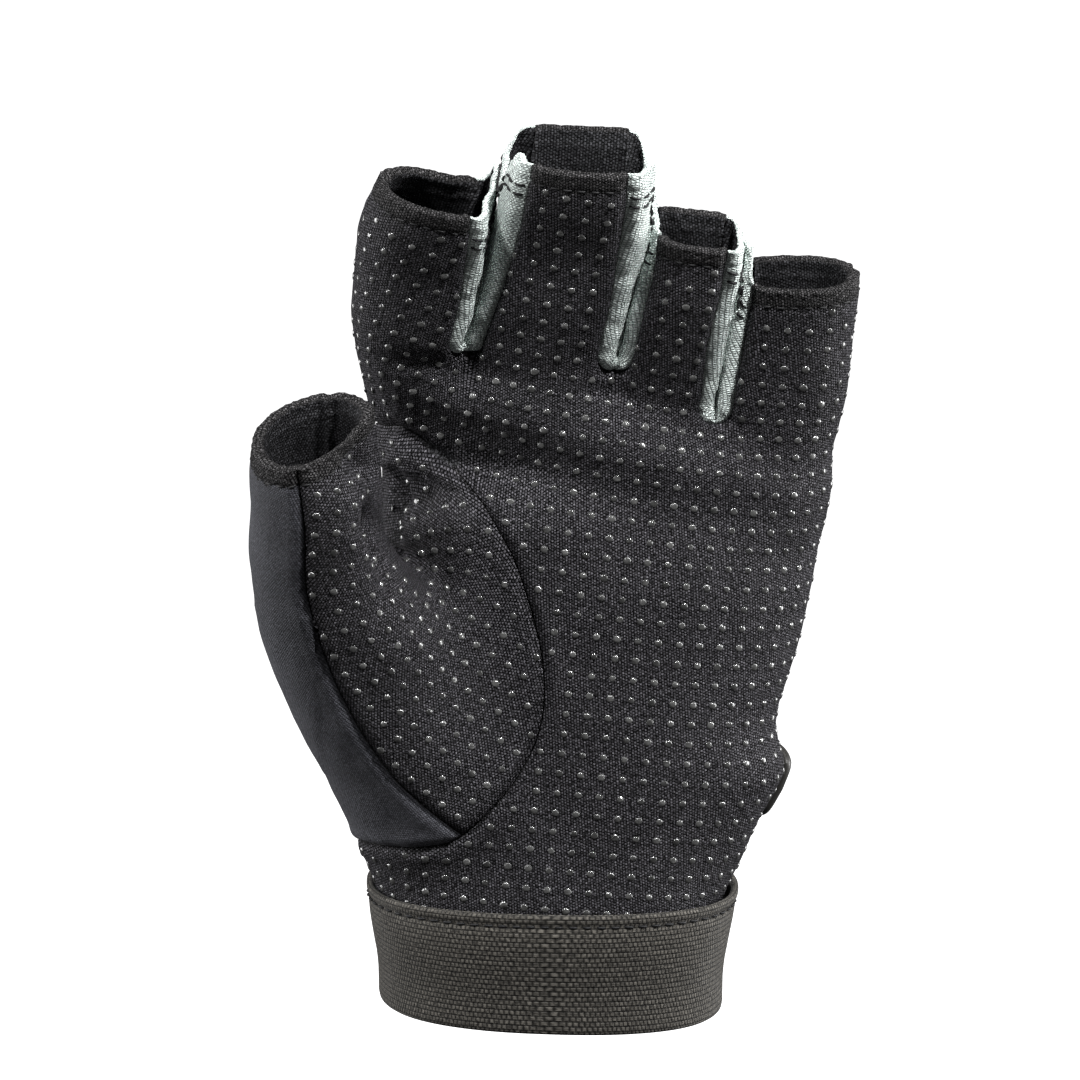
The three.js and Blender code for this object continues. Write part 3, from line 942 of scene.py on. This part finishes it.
def dots(panel, uv, pitch, turn, facing, rng):
    """A grid of domed dots on a panel's outside, clear of its edges and of what faces away."""
    v, f = panel.points, panel.faces
    c, s = math.cos(turn), math.sin(turn)
    grid = uv @ np.array([[c, -s], [s, c]]) / pitch
    a, b, d = (grid[f[:, i]] for i in range(3))
    target = np.round((a + b + d) / 3)
    e1, e2, q = b - a, d - a, target - a
    cross = e1[:, 0] * e2[:, 1] - e1[:, 1] * e2[:, 0]
    cross = np.where(np.abs(cross) < 1e-12, 1e-12, cross)
    t1 = (q[:, 0] * e2[:, 1] - q[:, 1] * e2[:, 0]) / cross
    t2 = (e1[:, 0] * q[:, 1] - e1[:, 1] * q[:, 0]) / cross
    hit = np.nonzero((t1 >= 0) & (t2 >= 0) & (t1 + t2 <= 1))[0]
    _, first = np.unique(target[hit], axis=0, return_index=True)
    hit = hit[first]
    stretch = doubled_areas(v, f[hit]) / (np.abs(cross[hit]) * pitch[0] * pitch[1])
    hit = hit[(stretch > 0.6) & (stretch < 1.5)]
    weights = np.stack([1 - t1 - t2, t1, t2], 1)[hit][:, :, None]
    place = (v[f[hit]] * weights).sum(1)
    normal = unit((panel.normals[f[hit]] * weights).sum(1))
    clear = (panel.seam[f[hit]].min(1) > 0.75) & (panel.rim[f[hit]].min(1) > 3.9)
    clear &= (place[:, 2] > CUFF_TOP - 2) & (normal[:, 1] < facing)
    place, normal = place[clear], normal[clear]
    way = circle(*around(normal), DOT_SIDES)
    size = rng.uniform(0.9, 1.08, (len(place), 1))
    lump = 1 + rng.uniform(-0.08, 0.08, (len(place), DOT_SIDES))
    verts = [(place + normal * DOT_RINGS[0][1] * size)[:, None]]
    for radius, height in DOT_RINGS[1:]:
        reach = (radius * size * lump)[:, :, None]
        verts.append(place[:, None] + way * reach + (normal * height)[:, None])
    top = [(0, 1 + i, 1 + (i + 1) % DOT_SIDES) for i in range(DOT_SIDES)]
    wall = 1 + quads_between(len(DOT_RINGS) - 1, DOT_SIDES, False)[:, [0, 3, 2, 0, 2, 1]]
    return copies(np.concatenate(verts, 1), np.concatenate([top, wall.reshape(-1, 3)]))


def lines_at(panel, values, level):
    """Chains of points and normals where values cross a level on a panel."""
    s = values - level
    pairs, place = edges_of(panel.faces)
    sa, sb = s[pairs[:, 0]], s[pairs[:, 1]]
    crossing = (sa < 0) != (sb < 0)
    t = (sa / np.where(crossing, sa - sb, 1))[:, None]
    point = panel.points[pairs[:, 0]] * (1 - t) + panel.points[pairs[:, 1]] * t
    normal = unit(panel.normals[pairs[:, 0]] * (1 - t) + panel.normals[pairs[:, 1]] * t)
    links = {}
    for sides in place[crossing[place].sum(1) == 2]:
        one, two = sides[crossing[sides]]
        links.setdefault(one, []).append(two)
        links.setdefault(two, []).append(one)
    chains = []
    while links:
        start = next((k for k, others in links.items() if len(others) == 1), next(iter(links)))
        chain = [start]
        while True:
            others = links.pop(chain[-1], [])
            step = [k for k in others if k in links]
            if not step:
                break
            chain.append(step[0])
        if len(chain) > 2:
            chains.append((point[chain], normal[chain]))
    return chains


def stitches(chain, length, space, radius, lift=0.05):
    """A row of thread stitches along a chain of points: vertices and triangles."""
    point, normal = chain
    run = np.concatenate([[0], np.cumsum(np.linalg.norm(np.diff(point, axis=0), axis=1))])
    count = int(run[-1] // (length + space))
    if count < 1:
        return None
    starts = (np.arange(count) + 0.5) * run[-1] / count - length / 2
    along = np.array([0.0, 0.12, 0.35, 0.65, 0.88, 1.0])
    at = (starts[:, None] + along * length).ravel()
    middle = np.stack([np.interp(at, run, point[:, i]) for i in range(3)], 1)
    up = unit(np.stack([np.interp(at, run, normal[:, i]) for i in range(3)], 1))
    tall = np.tile(radius * np.array([-1.2, -0.1, 0.55, 0.55, -0.1, -1.2]) + lift, count)
    wide = np.tile(radius * np.array([0.3, 0.85, 1, 1, 0.85, 0.3]), count)
    rows = len(along)
    each = middle.reshape(count, rows, 3)
    forward = unit(each[:, -1] - each[:, 0])
    side = unit(np.cross(np.repeat(forward, rows, 0), up))
    v = (middle + up * tall[:, None])[:, None] + circle(side, up, THREAD_SIDES) * wide[:, None, None]
    wall = quads_between(rows, THREAD_SIDES, False)[:, [0, 1, 2, 0, 2, 3]].reshape(-1, 3)
    last = (rows - 1) * THREAD_SIDES
    ends = []
    for i in range(1, THREAD_SIDES - 1):
        ends += [(0, i + 1, i), (last, last + i, last + i + 1)]
    return copies(v.reshape(count, rows * THREAD_SIDES, 3), np.concatenate([wall, ends]))


def together(meshes):
    """Meshes joined into one."""
    verts, faces, base = [], [], 0
    for one in meshes:
        if one is None:
            continue
        verts.append(one[0])
        faces.append(one[1] + base)
        base += len(one[0])
    return np.concatenate(verts), np.concatenate(faces)


# Materials


class Look:
    """A Principled material whose pattern is laid in the cloth's own millimetres."""

    def __init__(self, name, colour, roughness, **values):
        self.material = bpy.data.materials.new(name)
        self.material.use_nodes = True
        self.tree = self.material.node_tree
        self.shader = self.tree.nodes["Principled BSDF"]
        self.colour = colour
        self.set("Base Color", (*colour, 1))
        self.set("Roughness", roughness)
        for key, value in values.items():
            self.set(key.replace("_", " "), value)

    def set(self, socket, value):
        self.shader.inputs[socket].default_value = value

    def node(self, kind, links=(), settings=(), **values):
        """A node with its sockets set by name, settings by attribute, and links from other outputs."""
        node = self.tree.nodes.new("ShaderNode" + kind)
        for key, value in dict(settings).items():
            setattr(node, key, value)
        for key, value in values.items():
            node.inputs[key.replace("_", " ")].default_value = value
        for key, output in dict(links).items():
            self.tree.links.new(output, node.inputs[key])
        return node

    def cloth(self, turn=0.0):
        """The cloth's own coordinates in millimetres."""
        uv = self.node("TexCoord").outputs["UV"]
        return self.node("Mapping", {"Vector": uv}, Rotation=(0, 0, turn)).outputs["Vector"]

    def space(self, scale=1 / MM):
        """Object coordinates, in millimetres unless another scale is given."""
        place = self.node("TexCoord").outputs["Object"]
        return self.node("Mapping", {"Vector": place}, Scale=(scale,) * 3).outputs["Vector"]

    def noise(self, vector, scale, detail=2.0):
        return self.node("TexNoise", {"Vector": vector}, Scale=scale, Detail=detail).outputs["Fac"]

    def weave(self, width, row, joint, second, dark, turn=0.0):
        """Staggered rows of stitches, from white and a second grey down to the dark of the joints."""
        white, grey, black = ((shade, shade, shade, 1) for shade in (1, second, dark))
        return self.node(
            "TexBrick", {"Vector": self.cloth(turn)}, {"offset": 0.5},
            Scale=1.0, Brick_Width=width, Row_Height=row, Mortar_Size=joint, Mortar_Smooth=1.0,
            Color1=white, Color2=grey, Mortar=black,
        ).outputs["Color"]

    def tint(self, factor, low, high, start=0.35, end=0.65):
        """The base colour, multiplied between low and high by a factor."""
        spread = self.node(
            "MapRange", {"Value": factor}, From_Min=start, From_Max=end, To_Min=low, To_Max=high
        ).outputs["Result"]
        source = self.shader.inputs["Base Color"]
        before = source.links[0].from_socket if source.links else None
        mix = self.node("VectorMath", settings={"operation": "MULTIPLY"})
        if before:
            self.tree.links.new(before, mix.inputs[0])
        else:
            mix.inputs[0].default_value = self.colour
        self.tree.links.new(spread, mix.inputs[1])
        self.tree.links.new(mix.outputs[0], source)

    def bump(self, height, distance, strength=1.0):
        """Relief this many millimetres deep, over what is there."""
        source = self.shader.inputs["Normal"]
        before = {"Normal": source.links[0].from_socket} if source.links else {}
        bump = self.node("Bump", {"Height": height, **before}, Strength=strength, Distance=distance * MM)
        self.tree.links.new(bump.outputs["Normal"], source)


def knit(name, colour, wale, stitch, depth, roughness=0.75, contrast=1.0, **values):
    """Knitted cloth: columns of stitches along v."""
    look = Look(name, colour, roughness, **values)
    weave = look.weave(stitch, wale, wale * 0.3, 0.55, 0.0, math.pi / 2)
    look.tint(weave, 1 - 0.98 * contrast, 1 + 4.2 * contrast, 0.0, 1.0)
    look.tint(look.noise(look.cloth(), 1.7, 2), 1 - 0.72 * contrast, 1 + 1.1 * contrast, 0.38, 0.62)
    look.tint(look.noise(look.cloth(), 0.06, 3), 0.88, 1.12)
    look.bump(weave, depth)
    look.bump(look.noise(look.cloth(), 2.6, 2), depth * 0.8)
    return look.material


black_knit = knit("black_knit", (0.0172, 0.0166, 0.0184), 0.55, 0.6, 0.42, 0.5, Specular_IOR_Level=0.1)
hem_knit = knit("hem_knit", (0.0130, 0.0125, 0.0128), 0.55, 0.6, 0.42, 0.6, Specular_IOR_Level=0.12)
plain_neoprene = knit(
    "plain_neoprene", (0.035, 0.0355, 0.041), 0.46, 0.46, 0.14, 0.7, 0.4,
    Specular_IOR_Level=0.15, Sheen_Weight=0.05, Sheen_Roughness=0.45,
)
grey_knit = knit(
    "grey_knit", (0.56, 0.62, 0.595), 0.6, 0.5, 0.3, 0.75, 0.3,
    Specular_IOR_Level=0.3, Sheen_Weight=0.1, Sheen_Roughness=0.5,
)
lining = knit("lining", (0.012, 0.012, 0.013), 0.6, 0.7, 0.08, 0.8, Specular_IOR_Level=0.2)
thread = Look("black_thread", (0.008, 0.008, 0.009), 0.6, Specular_IOR_Level=0.4)
thread.bump(thread.noise(thread.space(), 3.0), 0.05)
silicone = Look(
    "silicone", (0.062, 0.062, 0.061), 0.2,
    Specular_IOR_Level=0.8, Coat_Weight=1.0, Coat_Roughness=0.1,
)
silicone.tint(silicone.noise(silicone.space(), 0.3, 1), 0.5, 1.6)
silicone.bump(silicone.noise(silicone.space(), 1.0, 2), 0.35)
elastic = Look(
    "woven_elastic", (0.030, 0.0278, 0.0243), 0.6,
    Specular_IOR_Level=0.15, Sheen_Weight=0.08, Sheen_Roughness=0.5,
)
weave = elastic.weave(0.8, 1.0, 0.26, 0.7, 0.1)
elastic.tint(weave, 0.2, 3.4, 0.0, 1.0)
elastic.tint(elastic.noise(elastic.cloth(), 1.5, 2), 0.4, 1.6)
elastic.bump(weave, 0.2)
rubber = Look("tab_rubber", (0.026, 0.025, 0.023), 0.42, Specular_IOR_Level=0.45)
rubber.tint(rubber.noise(rubber.space(), 0.2, 2), 0.9, 1.12)
rubber.bump(rubber.noise(rubber.space(), 3.0, 2), 0.03)


# Panels and strips, each laid flat as it is seen along one axis

# Each one's node, slot, thickness, cloth of its face and its hem, and the axis and sign of its width
STYLES = {
    "palm": ("palm_panel", "grip_knit", NEOPRENE, black_knit, hem_knit, 0, 1),
    "thumb_front": ("thumb_front_panel", "grip_knit", NEOPRENE, black_knit, hem_knit, 0, 1),
    "back": ("back_panel", "plain_neoprene", NEOPRENE, plain_neoprene, hem_knit, 0, -1),
    "thumb_side": ("thumb_side_panel", "plain_neoprene", NEOPRENE, plain_neoprene, hem_knit, 1, -1),
    **{name: ("forchette_" + name, "grey_knit", FORCHETTE, grey_knit, grey_knit, 0, 1) for name in gaps},
}
# The dots' piece, their pitch both ways, the grid's turn in degrees, and how far back they may face
DOT_GRIDS = {
    "palm": ("palm_dots", (4.15, 4.0), -9, 0.6),
    "thumb_front": ("thumb_dots", (4.1, 4.0), 40, -0.2),
}
# Rows of thread: how far below the rim, then a stitch's length, space, radius and lift
HEM_ROWS = [(3.1, 2.0, 0.7, 0.24, -0.02)]
STRIP_ROWS = [(4.6, 2.6, 0.3, 0.28, 0.05), (6.6, 2.6, 0.3, 0.28, 0.05)]
rng = np.random.default_rng(SEED)


def sewn_piece(name, node, slot, thickness, face, hem, axis, sign):
    """One panel or strip with its dots. Returns its rows of thread."""
    panel = Panel(name, panels[name])
    seen = np.stack([sign * panel.flat[:, axis], panel.flat[:, 2]], 1)
    method = "MINIMUM_STRETCH" if name == "thumb_front" else "ANGLE_BASED"
    uv = unwrap(panel.flat, panel.faces, seen, method)
    v, f, uvs, marks = thicken(panel, thickness, uv)
    make(node + "_cloth", v, f, (face, hem, lining), uvs, marks, (node,))
    if name in DOT_GRIDS:
        piece, pitch, turn, facing = DOT_GRIDS[name]
        v, f = dots(panel, uv, np.array(pitch), math.radians(turn), facing, rng)
        make(piece, v, f, (silicone.material,))
    rows = []
    for level, *stitch in STRIP_ROWS if name in gaps else HEM_ROWS:
        rows += [stitches(chain, *stitch) for chain in lines_at(panel, panel.rim, level)]
    return rows


threads = []
for name, style in STYLES.items():
    threads += sewn_piece(name, *style)
v, f = together(threads)
make("hem_stitches", v, f, (thread.material,))


# The wrist band

# Its section, as height and distance out from its outer face
CUFF_PROFILE = np.array([
    (0.25, -1.45), (0, -1), (0, -0.5), (0.3, -0.1), (0.9, 0), (2, 0), (4, 0.02), (6, 0),
    (8, 0.03), (10, 0), (12, 0.03), (14, 0), (16, 0), (18, 0.03), (20, 0),
    (21.4, -0.05), (21.9, -0.3), (22.2, -0.3), (22.7, 0), (23.4, 0.15), (24, 0.1), (24.4, -0.2),
    (24.5, -0.7), (24.2, -1.3), (23, -ELASTIC), (18, -ELASTIC), (12, -ELASTIC), (6, -ELASTIC),
    (1, -ELASTIC),
])
CUFF_STEPS = 220
CUFF_GIRTH = 190.0
CUFF_THREAD_STEPS = 301
CUFF_THREAD_HEIGHT = 22.05
CUFF_THREAD_OUT = -0.22
band = Tube(CUFF, HAND_SQUARE, 6)


def wrist_cuff():
    turn = np.arange(CUFF_STEPS) / CUFF_STEPS
    wave = 0.18 * np.sin(turn * 2 * np.pi * 3 + 1) + 0.1 * np.sin(turn * 2 * np.pi * 7)
    steps = np.linalg.norm(np.diff(CUFF_PROFILE, axis=0), axis=1)
    run = np.concatenate([[0], np.cumsum(steps)])
    rings, uvs = [], []
    for (height, out), along in zip(CUFF_PROFILE, run):
        rings.append(band.skin(np.full(CUFF_STEPS, height), turn * 2 * np.pi, out + wave * 0.6))
        uvs.append(np.stack([turn * CUFF_GIRTH, np.full(CUFF_STEPS, along)], 1))
    v, uv = np.concatenate(rings), np.concatenate(uvs)
    f = quads_between(len(CUFF_PROFILE), CUFF_STEPS, True)
    make("wrist_cuff_cloth", v, f, (elastic.material,), uv, None, ("wrist_cuff",))


def cuff_stitches():
    turn = np.linspace(0, 1, CUFF_THREAD_STEPS)
    height = np.full(CUFF_THREAD_STEPS, CUFF_THREAD_HEIGHT)
    points = band.skin(height, turn * 2 * np.pi, CUFF_THREAD_OUT)
    normals = unit((points - points.mean(0)) * [1, 1.4, 0])
    v, f = stitches((points, normals), 1.9, 0.9, 0.26)
    make("cuff_stitches", v, f, (thread.material,))


wrist_cuff()
cuff_stitches()


# The tab: a moulded plate wrapped on the back of the wrist

# Its span in height, and in angle from the back's middle towards +X
TAB_LOW = 38.5
TAB_HIGH = 55.0
TAB_START = -0.42
TAB_END = 1.5
TAB_CLEAR = 0.4
TAB_SQUARE = 5.0
TAB_SIDES = 96
# Rings from its outer face round its edge to its inner face: share of its span, and of its thickness
TAB_RINGS = [
    (0, 1), (0.25, 1), (0.5, 1), (0.72, 1), (0.84, 1), (0.87, 1.25), (0.93, 1.3), (0.97, 1.1),
    (1, 0.7), (1, 0.3), (0.98, 0), (0.9, 0), (0.6, 0), (0.3, 0), (0, 0),
]


def closure_tab():
    aside, up = superellipse(np.arange(TAB_SIDES) * 2 * np.pi / TAB_SIDES, TAB_SQUARE)
    rings = []
    for reach, thick in TAB_RINGS:
        angle = (TAB_START + TAB_END) / 2 + (TAB_END - TAB_START) / 2 * aside * reach
        z = (TAB_LOW + TAB_HIGH) / 2 + (TAB_HIGH - TAB_LOW) / 2 * up * reach
        place, normal = settle(hand.skin(z, np.pi / 2 - angle), 2)
        rings.append(place + normal * (TAB_CLEAR + RUBBER * thick))
    v, f = np.concatenate(rings), quads_between(len(TAB_RINGS), TAB_SIDES, False)[:, [0, 3, 2, 1]]
    make("closure_tab_rubber", v, f, (rubber.material,), None, None, ("closure_tab",))


closure_tab()


# Stage, lights and camera

SKY_LIGHT = 0.07
FLOOR_REACH = 9.0
FLOOR_LEVEL = -0.3
LIGHTS_AIM = (0, 0, 0.1)
scene = bpy.context.scene
world = bpy.data.worlds.new("studio")
scene.world = world
world.use_nodes = True
sky = world.node_tree
sky.nodes["Background"].inputs["Color"].default_value = (1, 1, 1, 1)
seen_sky = sky.nodes.new("ShaderNodeMix")
seen_sky.inputs["A"].default_value = SKY_LIGHT
seen_sky.inputs["B"].default_value = 1.0
sky.links.new(sky.nodes.new("ShaderNodeLightPath").outputs["Is Camera Ray"], seen_sky.inputs["Factor"])
sky.links.new(seen_sky.outputs["Result"], sky.nodes["Background"].inputs["Strength"])
scene.view_settings.view_transform = "Standard"

floor_mesh = bpy.data.meshes.new("floor")
corners = [(x * FLOOR_REACH, y * FLOOR_REACH, FLOOR_LEVEL) for x, y in ((-1, -1), (1, -1), (1, 1), (-1, 1))]
fill(floor_mesh, np.array(corners), np.array([[0, 1, 2, 3]]))
pale = Look("pale_floor", (0.8, 0.8, 0.8), 0.9, Emission_Color=(1, 1, 1, 1), Emission_Strength=1.05)
pale.tint(pale.noise(pale.space(1), 0.3), 0.99, 1.01)
floor_mesh.materials.append(pale.material)
floor = bpy.data.objects.new("floor", floor_mesh)
floor.visible_diffuse = False
floor.visible_glossy = False
scene.collection.objects.link(floor)


def area_light(name, place, size, power):
    data = bpy.data.lights.new(name, "AREA")
    data.size = size
    data.energy = power
    light = bpy.data.objects.new(name, data)
    light.location = place
    light.rotation_euler = (Vector(LIGHTS_AIM) - Vector(place)).to_track_quat("-Z", "Y").to_euler()
    scene.collection.objects.link(light)


area_light("key", (0.44, -0.56, 0.98), 0.1, 17)
area_light("fill", (-0.48, -0.58, 0.86), 0.1, 6)
area_light("left", (-0.9, 0.1, 0.2), 0.6, 9)
area_light("right", (0.9, 0.12, 0.2), 0.6, 12)
area_light("top", (0.0, 0.15, 1.1), 0.6, 4)

camera_data = bpy.data.cameras.new("camera")
camera_data.sensor_width = SENSOR
camera_data.lens = PX_PER_MM * CAMERA_DISTANCE * SENSOR / IMAGE_PX
camera = bpy.data.objects.new("camera", camera_data)
away = Vector((0, -math.cos(CAMERA_ELEVATION), math.sin(CAMERA_ELEVATION)))
camera.location = (Vector(CAMERA_TARGET) + away * CAMERA_DISTANCE) * MM
camera.rotation_euler = (math.pi / 2 - CAMERA_ELEVATION, 0, 0)
scene.collection.objects.link(camera)
scene.camera = camera

bpy.context.view_layer.update()
